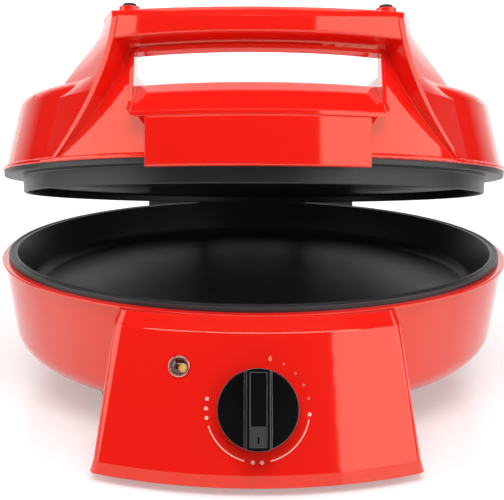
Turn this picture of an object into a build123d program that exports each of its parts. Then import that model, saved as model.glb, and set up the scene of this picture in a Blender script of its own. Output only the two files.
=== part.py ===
from build123d import *
import os
from math import asin, atan2, cos, degrees, radians, sin, sqrt, tan

# An electric pizza maker: a round pan in a red body, and a hinged red lid with a second hot plate.
# Millimetres. X points right, Y points back, Z points up, and the table is at Z = 0.
# The pan's axis is the Z axis. The lid is modelled closed, then opened to where it stands ajar.

# Overall
rim_height = 90.0
lid_standing_open = 11.6
seat_gap = 0.15
running_gap = 0.05
wall = 2.4

# Pan, the lower hot plate, whose radius all the other radii follow
pan_radius = 168.0
pan_rim_width = 5.6
pan_rim_thickness = 3.3
pan_lip_width = 1.2
pan_slant = 10.4
pan_depth = 26.0
pan_wall = 2.6
pan_groove_depth = 1.0
pan_corner_radius = 8.0
pan_mouth_radius = pan_radius - pan_rim_width
pan_floor_radius = pan_mouth_radius - pan_slant
pan_outer_radius = pan_mouth_radius + pan_wall
pan_floor = rim_height - pan_depth
pan_under = pan_floor - pan_wall

# Body shell
flange_overhang = 4.5
flange_thickness = 2.0
flange_edge_radius = 0.8
flange_lip = 2.1
body_draft = 6.8
body_floor_height = 24.0
body_corner_radius = 18.0
pan_hole_gap = 0.6
wiring_hole_radius = 9.0
cord_hole_radius = 7.0
flange_radius = pan_radius + flange_overhang
flange_top = rim_height - pan_rim_thickness
flange_under = flange_top - flange_thickness
body_wall_radius = flange_radius - flange_lip
body_floor_top = body_floor_height + wall

# Feet, and the bottom cover between them
foot_inset = 49.4
foot_top_radius = 13.0
foot_low_radius = 10.5
pad_radius = 8.3
pad_length = 6.5
foot_clearance = 2.5
cover_foot_gap = 2.0
cover_overlap = 8.0
cover_thickness = 1.8
cover_edge = 0.8
vent_length = 44.0
vent_width = 5.0
vent_edge = 6.0
foot_ring_radius = body_wall_radius - foot_inset
cover_radius = foot_ring_radius - foot_top_radius - cover_foot_gap
body_opening_radius = cover_radius - cover_overlap
cover_low = body_floor_height - cover_thickness

# Front panel
face_lean = 22.0
face_top_drop = 5.6
face_top_step = 7.0
face_low_height = 12.0
skirting_low_height = 5.4
skirting_reach_step = 1.2
panel_rim_drop = 0.5
panel_rim_gap = 1.2
face_curve_radius = 225.0
face_top_half_width = 77.5
face_flare = 9.1
skirting_flare = 2.0
panel_rim_taper = 2.5
panel_top_corner = 8.0
panel_low_corner = 5.0
face_edge_radius = 2.2
panel_back_inset = 34.5
panel_wall = 2.5
face_top_height = flange_under - face_top_drop
face_top_reach = flange_radius + face_top_step
face_slope = tan(radians(face_lean))
face_low_reach = face_top_reach + (face_top_height - face_low_height) * face_slope
face_low_half_width = face_top_half_width + face_flare
skirting_half_width = face_low_half_width + skirting_flare
panel_rim_height = flange_top - panel_rim_drop
panel_rim_half_width = face_top_half_width - panel_rim_taper
panel_back = flange_radius - panel_back_inset

# Knob and thermostat
knob_drop = 36.3
knob_radius = 20.9
knob_length = 16.0
knob_face_gap = 0.9
knob_disc_height = 7.0
knob_rim_width = 1.1
knob_dish = 1.4
grip_inset = 0.4
grip_width = 15.0
grip_taper = 1.2
grip_edge_radius = 0.9
grip_groove_width = 8.4
grip_groove_depth = 1.0
grip_groove_end = 2.5
pointer_length = 10.0
pointer_rise = 0.7
pointer_slit_width = 0.9
pointer_slit_length = 3.4
shaft_radius = 3.0
shaft_end_cover = 4.0
bushing_radius = 4.9
bushing_length = 2.6
bushing_shoulder = 2.2
thermostat_width = 32.0
thermostat_length = 28.0
thermostat_depth = 10.0
thermostat_corner = 2.0
tab_width = 6.3
tab_thickness = 0.8
tab_length = 8.0
tab_side = 8.0
knob_height = face_top_height - knob_drop
knob_reach = face_top_reach + (face_top_height - knob_height) * face_slope
grip_end_radius = knob_radius - grip_inset

# Signal lamp
lamp_side = -41.0
lamp_drop = 17.1
bezel_radius = 5.8
bezel_thickness = 1.2
bezel_tube_radius = 4.9
bezel_tube_length = 12.0
lens_radius = 4.3
lens_depth = 3.0
lens_rim_drop = 0.6
lens_rise = 0.9
bulb_radius = 2.9
bulb_length = 9.0
bulb_gap = 0.2
lamp_height = face_top_height - lamp_drop

# Heating elements, reflectors and their fixings, the same in the body and in the lid
element_inset = 48.0
element_tube_radius = 3.25
element_gap_angle = 36.0
element_leg_length = 12.0
element_seat = 0.1
clip_width = 9.0
clip_thickness = 1.2
clip_foot = 7.0
clip_angles = (30.0, 150.0, 270.0)
boss_length = 11.0
reflector_inset = 14.0
reflector_thickness = 0.8
reflector_rim = 5.0
reflector_leg_gap = 1.5
screw_radius = 2.0
screw_head_radius = 3.8
screw_head_height = 2.0
thread_gap = 0.02
stud_radius = 2.5
stud_hole_gap = 0.2
stud_boss_radius = 7.0
nut_height = 4.0
nut_radius = 4.6
element_ring_radius = pan_floor_radius - element_inset
reflector_radius = pan_floor_radius - reflector_inset

# Terminal block
terminal_inset = 40.7
terminal_angle = 27.5
terminal_width = 34.0
terminal_depth = 16.0
terminal_height = 14.0
terminal_pitch = 10.0
terminal_screw_radius = 2.2
terminal_wire_radius = 2.0

# Lid cover
closed_gap = 0.3
plate_flange_thickness = 3.1
brim_overhang = 3.0
brim_thickness = 2.8
brim_step = 1.8
dome_draft = 12.75
dome_height = 44.4
crown_rise = 5.4
dome_shoulder_radius = 9.0
crown_blend_radius = 300.0
plate_flange_low = rim_height + closed_gap
brim_low = plate_flange_low + plate_flange_thickness
brim_top = brim_low + brim_thickness
brim_radius = pan_radius + brim_overhang
dome_foot_radius = brim_radius - brim_step
dome_shoulder_height = brim_top + dome_height
dome_crown_height = dome_shoulder_height + crown_rise

# Window through the handle, with the finger scoop in front of it and the ramp behind it
sill_drop = 5.3
sill_inset = 20.0
scoop_drop = 18.3
scoop_step = 0.4
ramp_middle_inset = 30.0
ramp_middle_rise = 2.9
ramp_end_inset = 66.0
ramp_end_drop = 1.2
window_height = 16.3
window_half_width = 67.4
liner_wall = 2.4
liner_front_inset = 4.5
liner_top_step = 2.3
liner_cheek_height = 6.1
liner_cheek_rise = 1.2
liner_corner_radius = 6.0
window_reach = 10.0

# Lid handle: the bar, the two wings and the recess between them
ridge_step = 0.8
handle_depth = 22.5
lintel_height = 6.3
bar_face_height = 6.8
bar_bevel_height = 7.2
bar_top_edge = 2.6
bar_end_rise = 2.1
crease_end_rise = 4.7
bar_step = 0.5
bar_top_half_width = 78.3
wing_flare = 8.0
wing_sweep = 32.5
wing_rear_angle = 36.6
wing_rear_spread = 19.0
wing_rear_drop = 33.9
wing_rear_limit = 56.0
ridge_thickness_angle = 1.1
handle_block_angle = 33.0
handle_end_angle = 27.4
envelope_angle = 60.0
recess_step = 0.3
wing_sink = 1.0
handle_trim = 4.0
bar_space_inset = 110.0
bar_space_outset = 70.0
ridge_radius = dome_foot_radius + ridge_step
handle_rear_radius = ridge_radius - handle_depth
sill_radius = ridge_radius - sill_inset
ramp_middle_radius = sill_radius - ramp_middle_inset
ramp_end_radius = sill_radius - ramp_end_inset
sill_height = dome_shoulder_height - sill_drop
ramp_middle_height = sill_height + ramp_middle_rise
ramp_end_height = dome_crown_height - ramp_end_drop
scoop_front_height = sill_height - scoop_drop
window_top_height = sill_height + window_height
bar_low_height = window_top_height + lintel_height
bar_crease_height = bar_low_height + bar_face_height
bar_top_height = bar_crease_height + bar_bevel_height

# Tongue plate under the window
tongue_half_width = 59.5
tongue_step = 5.0
tongue_drop = 5.4
tongue_wall = 2.5
tongue_back_gap = 0.4
tongue_radius = brim_radius + tongue_step
tongue_low_height = brim_low - tongue_drop
scoop_front_radius = tongue_radius - scoop_step
liner_front_radius = ridge_radius - liner_front_inset

# Handle pads, on which the lid lies when it is thrown right back
handle_pad_inset = 7.85
handle_pad_angle = 25.38
handle_ring_radius = 5.6
handle_ring_height = 3.4
handle_pad_radius = 3.8
handle_pad_height = 5.4
handle_pad_sink = 0.6
handle_pad_edge = 1.0
handle_pad_top = bar_top_height + handle_pad_height

# Upper hot plate
skirt_gap = 4.9
skirt_drop = 10.4
skirt_wall = 2.8
skirt_slant = 0.5
plate_recess = 5.5
plate_thickness = 3.0
plate_flange_cover = 0.3
skirt_radius = pan_mouth_radius - skirt_gap
plate_under = plate_flange_low - skirt_drop + plate_recess
plate_top = plate_under + plate_thickness

# Hinge
hinge_setback = 35.5
eye_radius = 7.0
pin_radius = 2.5
pin_head_radius = 4.0
pin_head_length = 1.5
arm_side = 42.0
arm_width = 14.0
arm_seat_width = 20.0
arm_seat_thickness = 4.0
arm_gap = 0.35
arm_screw_side = 5.0
arm_screw_drop = 8.0
arm_screw_grip = 7.5
ear_thickness = 5.0
ear_radius = 7.5
ear_foot_setback = 20.0
pad_step = 1.8
pad_half_width = 56.0
pad_depth = 52.8
pad_low_step = 1.8
pad_top_drop = 11.6
pad_corner_radius = 6.0
housing_half_width = 97.0
housing_top_drop = 26.65
housing_floor_step = 3.0
bridge_gap = 0.25
housing_wall = 3.0
housing_corner_radius = 6.0
housing_chamfer = 2.0
housing_root = 70.0
bridge_setback = 1.0
bridge_edge_radius = 2.0
hinge_reach = flange_radius + hinge_setback
hinge_height = handle_pad_top / 2
hinge_axis = Axis((0, hinge_reach, hinge_height), (-1, 0, 0))
pad_face_reach = brim_radius + pad_step
pad_low_height = brim_top + pad_low_step
pad_top_height = dome_shoulder_height - pad_top_drop
housing_top_height = hinge_height - housing_top_drop
housing_low_height = body_floor_height + housing_floor_step
bridge_height = hinge_height - pin_head_radius - bridge_gap

# Cord gland
gland_side = 24.0
gland_height_step = 17.0
gland_flange_radius = 7.5
gland_flange_thickness = 2.5
gland_radius = 5.5
gland_length = 8.0
gland_bore_radius = 3.4
gland_height = housing_low_height + gland_height_step

# The panel's face, and how far the knob and the housing behind reach from the middle
face_normal = (0, -cos(radians(face_lean)), sin(radians(face_lean)))
face_plane = Plane(origin=(0, -knob_reach, knob_height), x_dir=(1, 0, 0), z_dir=face_normal)
knob_end = knob_length * cos(radians(face_lean)) + grip_end_radius * sin(radians(face_lean))
front_reach = knob_reach + knob_end
housing_reach = front_reach - gland_flange_thickness

pieces = {}


def body_wall_at(height):
    """Outer radius of the body's wall at a height."""
    return body_wall_radius - (flange_under - height) * tan(radians(body_draft))


def dome_wall_at(height):
    """Outer radius of the lid's wall at a height."""
    return dome_foot_radius - (height - brim_low) * tan(radians(dome_draft))


def recess_wall_at(height):
    """Outer radius at a height of the wall behind the handle's recess."""
    return dome_wall_at(height) - recess_step


def closed_face(points, radii=0.0):
    """A face with straight sides, whose corners have one radius or one each."""
    return make_face(FilletPolyline(*points, radius=radii, close=True))


def turned(points, radii=0.0):
    """A solid of revolution about the Z axis, from points of radius and height."""
    return revolve(Plane.XZ * closed_face(points, radii), Axis.Z)


def radial_plane(angle):
    """The upright plane through the Z axis at an angle from the front."""
    turn = radians(angle - 90)
    outward = Vector(cos(turn), sin(turn), 0)
    return Plane(origin=(0, 0, 0), x_dir=outward, z_dir=(outward.Y, -outward.X, 0))


def turned_part(points, half_angle, radii=0.0):
    """The front sector of such a solid, as wide on each side of the middle as the angle."""
    return revolve(radial_plane(-half_angle) * closed_face(points, radii), Axis.Z, 2 * half_angle)


def slab(half_width):
    """Everything in the lid that is nearer the middle plane than the half width."""
    return Box(2 * half_width, 4 * ridge_radius, 4 * bar_top_height)


def polar(radius, angle, height=0.0):
    """A point at an angle from the front, on the right for positive angles."""
    return (radius * sin(radians(angle)), -radius * cos(radians(angle)), height)


def on_circle(radius, angle):
    """The place at an angle counted from the right, turned with it."""
    return Rot(0, 0, angle) * Pos(radius, 0, 0)


def upright(radius, low, high):
    """An upright cylinder between two heights."""
    return Pos(0, 0, (low + high) / 2) * Cylinder(radius, high - low)


def crosswise(radius, low, high, reach, height):
    """A cylinder along X between two values of X."""
    middle = (low + high) / 2
    return Pos(middle, reach, height) * Rot(0, 90, 0) * Cylinder(radius, high - low)


def keep(name, shape):
    """Store a finished piece under its node name."""
    pieces[name] = shape


def keep_in_lid(name, shape):
    """Store a piece of the lid, opened from its closed place."""
    keep(name, shape.rotate(hinge_axis, lid_standing_open))


# Body shell: a drafted bowl with a flange that carries the pan's rim
def body_envelope(gap):
    """The outside of the body as one solid, grown by a gap."""
    return turned(
        [
            (0, body_floor_height - gap),
            (body_wall_at(body_floor_height) + gap, body_floor_height - gap),
            (body_wall_at(flange_under) + gap, flange_under - gap),
            (flange_radius + gap, flange_under - gap),
            (flange_radius + gap, flange_top + gap),
            (0, flange_top + gap),
        ],
        [0, body_corner_radius + gap, 0, 0, 0, 0],
    )


def make_body_shell():
    pan_hole = pan_outer_radius + pan_hole_gap
    edge = flange_edge_radius
    shell = turned(
        [
            (flange_radius, flange_top),
            (flange_radius, flange_under),
            (body_wall_at(flange_under), flange_under),
            (body_wall_at(body_floor_height), body_floor_height),
            (body_opening_radius, body_floor_height),
            (body_opening_radius, body_floor_top),
            (body_wall_at(body_floor_top) - wall, body_floor_top),
            (body_wall_at(flange_under) - wall, flange_under),
            (pan_hole, flange_under),
            (pan_hole, flange_top),
        ],
        [edge, edge, 0, body_corner_radius, 0, 0, body_corner_radius - wall, 0, 0, 0],
    )
    wiring_hole = Pos(0, -body_wall_radius, knob_height) * Rot(90, 0, 0) * Cylinder(wiring_hole_radius, 40)
    cord_place = Pos(gland_side, body_wall_radius, gland_height)
    cord_hole = cord_place * Rot(90, 0, 0) * Cylinder(cord_hole_radius, 40)
    keep("body_shell", shell - wiring_hole - cord_hole)


# Pan: a cast plate with a double-lipped rim
def make_pan():
    lip = pan_lip_width
    groove = rim_height - pan_groove_depth
    pan = turned(
        [
            (0, pan_under),
            (pan_floor_radius, pan_under),
            (pan_outer_radius, flange_top),
            (pan_radius, flange_top),
            (pan_radius, rim_height),
            (pan_radius - lip, rim_height),
            (pan_radius - 2 * lip, groove),
            (pan_mouth_radius + 2 * lip, groove),
            (pan_mouth_radius + lip, rim_height),
            (pan_mouth_radius, rim_height),
            (pan_floor_radius, pan_floor),
            (0, pan_floor),
        ],
        [0, pan_corner_radius + pan_wall, 0, 0, 0.7, 0.3, 0.3, 0.3, 0.3, 0.5, pan_corner_radius, 0],
    )
    stud_boss = upright(stud_boss_radius, pan_under - boss_length, pan_under)
    stud_bore = upright(stud_radius, pan_under - boss_length - 1, pan_under - 1)
    keep("pan", pan + stud_boss - stud_bore)


def heater_end_angles():
    """Where the heater's ring stops on each side of its gap."""
    return (-90 + element_gap_angle / 2, -90 - element_gap_angle / 2)


# A tubular heater: an open ring with two legs, modelled below the plane Z = 0 that it lies against
def heater():
    drop = element_seat + element_tube_radius
    turn = 360 - element_gap_angle
    start = heater_end_angles()[0]
    section = Plane.XZ * (Pos(element_ring_radius, -drop) * Circle(element_tube_radius))
    tube = Rot(0, 0, start) * revolve(section, Axis.Z, turn)
    for angle in heater_end_angles():
        elbow = Sphere(element_tube_radius)
        leg = Pos(0, 0, -element_leg_length / 2) * Cylinder(element_tube_radius, element_leg_length)
        tube = tube + Rot(0, 0, angle) * Pos(element_ring_radius, 0, -drop) * (elbow + leg)
    return tube


# A bent steel clip that holds the heater's tube up against the plane Z = 0
def heater_clip():
    drop = element_seat + element_tube_radius
    inner = element_tube_radius + seat_gap
    outer = inner + clip_thickness
    band = Pos(0, -drop) * Circle(outer) + Pos(0, -drop / 2) * Rectangle(2 * outer, drop)
    feet = Pos(0, -clip_thickness / 2) * Rectangle(2 * (outer + clip_foot), clip_thickness)
    space = Pos(0, -drop) * Circle(inner) + Pos(0, -drop / 2) * Rectangle(2 * inner, drop)
    above = Pos(0, outer) * Rectangle(4 * outer, 2 * outer)
    return extrude(Plane.XZ * (band + feet - space - above), clip_width / 2, both=True)


# A shallow dish of thin sheet that throws the heat back, with its flat face at Z = 0
def reflector():
    sheet = turned(
        [
            (0, 0),
            (reflector_radius, 0),
            (reflector_radius + reflector_rim, reflector_rim),
            (reflector_radius + reflector_rim, reflector_rim - reflector_thickness),
            (reflector_radius, -reflector_thickness),
            (0, -reflector_thickness),
        ]
    )
    sheet = sheet - Cylinder(stud_radius + stud_hole_gap, 4 * reflector_thickness)
    for angle in heater_end_angles():
        leg_hole = Cylinder(element_tube_radius + reflector_leg_gap, 6)
        sheet = sheet - on_circle(element_ring_radius, angle) * leg_hole
    return sheet


# A pan-head screw, its head below the plane Z = 0 and its shank above
def screw(length):
    head = Pos(0, 0, -screw_head_height / 2) * Cylinder(screw_head_radius, screw_head_height)
    head = fillet(head.edges().sort_by(Axis.Z)[0], 0.8)
    shank = Pos(0, 0, length / 2) * Cylinder(screw_radius - thread_gap, length)
    return head + shank


# A hexagon nut on a stud, its seat at the plane Z = 0
def stud_nut():
    nut = Pos(0, 0, -nut_height) * extrude(RegularPolygon(nut_radius, 6), nut_height)
    return nut - Cylinder(stud_radius, 3 * nut_height)


def make_heating_set(prefix, place, store):
    """The heater, clips, reflector and nut that hang under a plate at the place given."""
    store(prefix + "_heater", place * heater())
    for index, angle in enumerate(clip_angles, 1):
        clip = on_circle(element_ring_radius, angle) * heater_clip()
        store(f"{prefix}_heater_clip_{index}", place * clip)
    store(prefix + "_reflector", place * Pos(0, 0, -boss_length) * reflector())
    store(prefix + "_reflector_nut", place * Pos(0, 0, -boss_length - reflector_thickness) * stud_nut())


# Bottom cover with a rayed field of vents, hung on the plate's middle stud
def make_bottom_cover():
    cover = upright(cover_radius, cover_low, body_floor_height)
    cover = chamfer(cover.edges().sort_by(Axis.Z)[0], cover_edge)
    vent_radius = body_opening_radius - vent_edge - vent_length / 2
    vent = Pos(vent_radius, 0, cover_low) * extrude(SlotOverall(vent_length, vent_width), 10, both=True)
    for index in range(12):
        cover = cover - Rot(0, 0, 30 * index + 15) * vent
    cover = cover - upright(stud_radius + stud_hole_gap, cover_low - 1, body_floor_height + 1)
    keep("bottom_cover", cover)
    keep("pan_stud", upright(stud_radius - thread_gap, cover_low - nut_height - 1, pan_under - 1))
    keep("pan_stud_nut", Pos(0, 0, cover_low) * stud_nut())


# Four tapered feet with rubber pads
def make_feet():
    foot = turned(
        [
            (0, pad_length),
            (pad_radius + seat_gap, pad_length),
            (pad_radius + seat_gap, foot_clearance),
            (foot_low_radius, foot_clearance),
            (foot_top_radius, body_floor_height),
            (0, body_floor_height),
        ],
        [0, 0, 0, 0.6, 0, 0],
    )
    pad = turned([(0, 0), (pad_radius, 0), (pad_radius, pad_length), (0, pad_length)], [0, 0.8, 0, 0])
    for index, angle in enumerate((45, 135, 225, 315), 1):
        keep(f"foot_{index}", on_circle(foot_ring_radius, angle) * foot)
        keep(f"foot_pad_{index}", on_circle(foot_ring_radius, angle) * pad)


# Front panel: a leaning, gently curved box in front of the bowl
def panel_section(height, reach, half_width, back, corner):
    """A level section: a curved front between rounded corners, with straight sides to the back."""
    centre = face_curve_radius - reach
    edge = centre - sqrt(face_curve_radius**2 - half_width**2)
    front = ThreePointArc((-half_width, edge), (0, -reach), (half_width, edge))
    sides = Polyline((half_width, edge), (half_width, -back), (-half_width, -back), (-half_width, edge))
    face = make_face(front + sides)
    front_corners = face.vertices().sort_by(Axis.Y)[0:2]
    return Pos(0, 0, height) * fillet(front_corners, corner)


def panel_solid(inset, top_drop=0.0):
    """The panel's outer form, or its cavity when inset by the wall."""
    back = panel_back + inset
    stations = [
        (
            skirting_low_height + inset,
            face_low_reach + skirting_reach_step - inset,
            skirting_half_width - inset,
            panel_low_corner,
        ),
        (
            face_low_height + inset / 2,
            face_low_reach - inset,
            face_low_half_width - inset,
            panel_low_corner,
        ),
        (
            face_top_height - top_drop,
            face_top_reach - inset,
            face_top_half_width - inset,
            panel_top_corner,
        ),
        (
            panel_rim_height - top_drop,
            flange_radius + seat_gap + panel_rim_gap - inset,
            panel_rim_half_width - inset,
            panel_top_corner,
        ),
    ]
    sections = []
    for height, reach, half_width, corner in stations:
        sections.append(panel_section(height, reach, half_width, back, corner - inset * 0.8))
    solid = loft([sections[0], sections[1]], ruled=True)
    for lower, upper in zip(sections[1:-1], sections[2:]):
        solid = solid + loft([lower, upper], ruled=True)
    return solid


def lamp_plane():
    """The plane of the panel's face at the lamp, square to the curved face there."""
    lamp_reach = face_top_reach + (face_top_height - lamp_height) * face_slope
    turn = asin(lamp_side / face_curve_radius)
    setback = face_curve_radius * (1 - cos(turn))
    lean = radians(face_lean)
    outward = (sin(turn) * cos(lean), -cos(turn) * cos(lean), sin(lean))
    return Plane(
        origin=(lamp_side, setback - lamp_reach, lamp_height),
        x_dir=(cos(turn), sin(turn), 0),
        z_dir=outward,
    )


def make_front_panel():
    outside = panel_solid(0.0)
    level = outside.edges().filter_by_position(Axis.Z, face_top_height - 0.01, face_top_height + 0.01)
    front_level = level.filter_by_position(Axis.Y, -2 * face_top_reach, -panel_back - 1)
    outside = fillet(front_level, face_edge_radius)
    panel = outside - panel_solid(panel_wall, panel_wall) - body_envelope(seat_gap)
    panel = panel - face_plane * Cylinder(bushing_radius + seat_gap, 30)
    panel = panel - lamp_plane() * Cylinder(bezel_tube_radius + seat_gap, 20)
    keep("front_panel", panel)


def make_lamp():
    plane = lamp_plane()
    lift = seat_gap
    bezel = turned(
        [
            (lens_radius + running_gap, -bezel_tube_length),
            (bezel_tube_radius, -bezel_tube_length),
            (bezel_tube_radius, lift),
            (bezel_radius, lift),
            (bezel_radius, lift + bezel_thickness),
            (lens_radius + running_gap, lift + bezel_thickness),
        ],
        [0, 0, 0, 0, 0.8, 0.4],
    )
    keep("lamp_bezel", plane * bezel)
    lens_back = lift + bezel_thickness - lens_depth
    lens_rim = lift + bezel_thickness - lens_rim_drop
    crown = lift + bezel_thickness + lens_rise
    rise = crown - lens_rim
    curve = (lens_radius**2 + rise**2) / (2 * rise)
    half_turn = asin(lens_radius / curve) / 2
    middle = (curve * sin(half_turn), crown - curve + curve * cos(half_turn))
    dome = ThreePointArc((lens_radius, lens_rim), middle, (0, crown))
    sides = Polyline((0, crown), (0, lens_back), (lens_radius, lens_back), (lens_radius, lens_rim))
    keep("lamp_lens", plane * revolve(Plane.XZ * make_face(dome + sides), Axis.Z))
    bulb = upright(bulb_radius, lens_back - bulb_gap - bulb_length, lens_back - bulb_gap)
    bulb = fillet(bulb.edges().sort_by(Axis.Z)[-1], 0.7 * bulb_radius)
    keep("neon_bulb", plane * bulb)


# Thermostat behind the panel, with the knob's shaft in its bushing
def make_thermostat():
    shoulder_front = -panel_wall - seat_gap
    body_front = shoulder_front - 1.0
    body = Pos(0, 0, body_front - thermostat_depth / 2) * Box(
        thermostat_width, thermostat_length, thermostat_depth
    )
    body = fillet(body.edges().filter_by(Axis.Z), thermostat_corner)
    shoulder = upright(bushing_radius + bushing_shoulder, body_front, shoulder_front)
    bushing = upright(bushing_radius, body_front, bushing_length)
    tab = Box(tab_width, tab_thickness, tab_length)
    rear = body_front - thermostat_depth - tab_length / 2
    tabs = Pos(-tab_side, 0, rear) * tab + Pos(tab_side, 0, rear) * tab
    shaft_low = body_front - 0.6 * thermostat_depth
    bore = upright(shaft_radius + running_gap, shaft_low, bushing_length + 1)
    keep("thermostat", face_plane * (body + shoulder + bushing + tabs - bore))
    shaft = upright(shaft_radius, shaft_low + 0.2, knob_length - shaft_end_cover)
    keep("knob_shaft", face_plane * shaft)


# Knob: a dished disc crossed by a tall grip bar with a sunk top
def make_knob():
    disc = turned(
        [
            (0, knob_face_gap),
            (knob_radius, knob_face_gap),
            (knob_radius, knob_disc_height),
            (knob_radius - knob_rim_width, knob_disc_height),
            (grip_width / 2, knob_disc_height - knob_dish),
            (0, knob_disc_height - knob_dish),
        ],
        [0, 0.5, 0.4, 0.4, 0, 0],
    )
    crest = grip_width / 2 - grip_taper
    bar_outline = closed_face(
        [
            (-grip_width / 2, knob_face_gap + 1),
            (grip_width / 2, knob_face_gap + 1),
            (crest, knob_length),
            (-crest, knob_length),
        ],
        [0, 0, grip_edge_radius, grip_edge_radius],
    )
    bar = extrude(Plane.XZ * bar_outline, knob_radius + 1, both=True)
    bar = bar & upright(grip_end_radius, 0, knob_length + 1)
    groove_length = 2 * (knob_radius - grip_groove_end)
    groove = Pos(0, 0, knob_length) * Box(grip_groove_width, groove_length, 2 * grip_groove_depth)
    knob = disc + (bar - groove)
    knob = knob - upright(bushing_radius + bushing_shoulder, 0, bushing_length + bushing_shoulder / 2)
    knob = knob - upright(shaft_radius + thread_gap, 0, knob_length - shaft_end_cover)
    keep("knob", face_plane * knob)
    seat = knob_length - grip_groove_depth
    pointer_middle = (pointer_length - groove_length) / 2 + seat_gap
    pointer_width = grip_groove_width - 2 * seat_gap
    pointer = Pos(0, pointer_middle, seat + pointer_rise / 2) * Box(pointer_width, pointer_length, pointer_rise)
    slit_place = Pos(0, pointer_middle - pointer_slit_length / 2, seat + pointer_rise / 2)
    slit = slit_place * Box(pointer_slit_width, pointer_slit_length, 2 * pointer_rise)
    keep("knob_pointer", face_plane * (pointer - slit))


# Terminal block on the body's floor
def make_terminal_block():
    block = Pos(0, 0, terminal_height / 2) * Box(terminal_width, terminal_depth, terminal_height)
    for offset in (-terminal_pitch, 0, terminal_pitch):
        screw_well = upright(terminal_screw_radius, terminal_height / 2, terminal_height + 1)
        wire_way = Pos(0, 0, terminal_height / 3) * Rot(90, 0, 0) * Cylinder(terminal_wire_radius, 40)
        block = block - Pos(offset, 0, 0) * (screw_well + wire_way)
    x, y, z = polar(body_wall_radius - terminal_inset, 180 - terminal_angle, body_floor_top)
    keep("terminal_block", Pos(x, y, z) * block)


# Hinge housing: a block behind the bowl, and a bridge on it with ears that carry the two pins
def bridge_face(inset, low, top):
    """The bridge's outline from the side, or the space in it when inset by the wall."""
    setback = bridge_setback + inset
    return closed_face(
        [
            (hinge_reach - ear_foot_setback + setback, low),
            (housing_reach - setback - bridge_setback, low),
            (hinge_reach + ear_radius - setback - bridge_setback, top),
            (hinge_reach - ear_radius + setback, top),
        ],
        [0, 0, bridge_edge_radius, bridge_edge_radius],
    )


def across(face, low, high):
    """A face seen from the side, made into a solid between two values of X."""
    return Pos((low + high) / 2, 0, 0) * extrude(Plane.YZ * face, (high - low) / 2, both=True)


def make_hinge_housing():
    start = body_wall_radius - housing_root
    depth = housing_reach - start
    middle = (housing_low_height + housing_top_height) / 2
    height = housing_top_height - housing_low_height
    block = Pos(0, start + depth / 2, middle) * Box(2 * housing_half_width, depth, height)
    rear_corners = block.edges().filter_by(Axis.Z).sort_by(Axis.Y)[-2:]
    block = fillet(rear_corners, housing_corner_radius)
    block = chamfer(block.faces().sort_by(Axis.Z)[0].edges().sort_by(Axis.Y)[-1], housing_chamfer)
    space_half_width = housing_half_width - housing_wall
    space_height = height - 2 * housing_wall
    cavity = Pos(0, (housing_reach - housing_wall) / 2, middle) * Box(
        2 * space_half_width, housing_reach - housing_wall, space_height
    )
    ear_foot = housing_top_height - 1
    ear_outline = Pos(hinge_reach, hinge_height) * Circle(ear_radius) + closed_face(
        [
            (hinge_reach - ear_foot_setback, ear_foot),
            (housing_reach - bridge_setback / 2, ear_foot),
            (hinge_reach + ear_radius - 0.3, hinge_height),
            (hinge_reach - ear_radius, hinge_height),
        ]
    )
    bridge_end = housing_half_width - housing_wall
    slot_half = arm_width / 2 + arm_gap
    slot_far = arm_side + slot_half + ear_thickness
    slot_near = arm_side - slot_half - ear_thickness
    bridge = across(bridge_face(0.0, ear_foot, bridge_height), -bridge_end, bridge_end)
    space_face = bridge_face(housing_wall, ear_foot - housing_wall, bridge_height - housing_wall)
    space = across(space_face, -slot_near, slot_near)
    space = space + across(space_face, slot_far, bridge_end - housing_wall)
    space = space + across(space_face, housing_wall - bridge_end, -slot_far)
    housing = (block + bridge) - cavity - space - body_envelope(seat_gap)
    slot_height = hinge_height + 2 * ear_radius - housing_top_height
    for side in (-1, 1):
        slot = Pos(side * arm_side, hinge_reach, housing_top_height + slot_height / 2)
        housing = housing - slot * Box(2 * slot_half, 4 * ear_foot_setback, slot_height)
        for offset in (-1, 1):
            centre = side * arm_side + offset * (slot_half + ear_thickness / 2)
            ear = across(ear_outline, centre - ear_thickness / 2, centre + ear_thickness / 2)
            housing = housing + ear
        reach = slot_half + ear_thickness + 1
        bore_ends = (side * arm_side - reach, side * arm_side + reach)
        housing = housing - crosswise(pin_radius + thread_gap, *bore_ends, hinge_reach, hinge_height)
    gland_hole = Pos(gland_side, housing_reach, gland_height) * Rot(90, 0, 0)
    housing = housing - gland_hole * Cylinder(gland_radius + seat_gap, 20)
    keep("hinge_housing", housing)


def make_hinge_pins():
    half = arm_width / 2 + arm_gap + ear_thickness
    for index, side in enumerate((-1, 1), 1):
        inner = side * (arm_side - half)
        outer = side * (arm_side + half)
        ends = sorted((inner, outer))
        heads = sorted((outer, outer + side * pin_head_length))
        pin = crosswise(pin_radius, ends[0], ends[1], hinge_reach, hinge_height)
        pin = pin + crosswise(pin_head_radius, heads[0], heads[1], hinge_reach, hinge_height)
        keep(f"hinge_pin_{index}", pin)


def make_cord_gland():
    gland = turned(
        [
            (gland_bore_radius, -gland_length),
            (gland_radius, -gland_length),
            (gland_radius, 0),
            (gland_flange_radius, 0),
            (gland_flange_radius, gland_flange_thickness),
            (gland_bore_radius, gland_flange_thickness),
        ],
        [0, 0.6, 0, 0.5, 1.2, 0],
    )
    rear = Plane(origin=(gland_side, housing_reach, gland_height), x_dir=(-1, 0, 0), z_dir=(0, 1, 0))
    keep("cord_gland", rear * gland)


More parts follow.
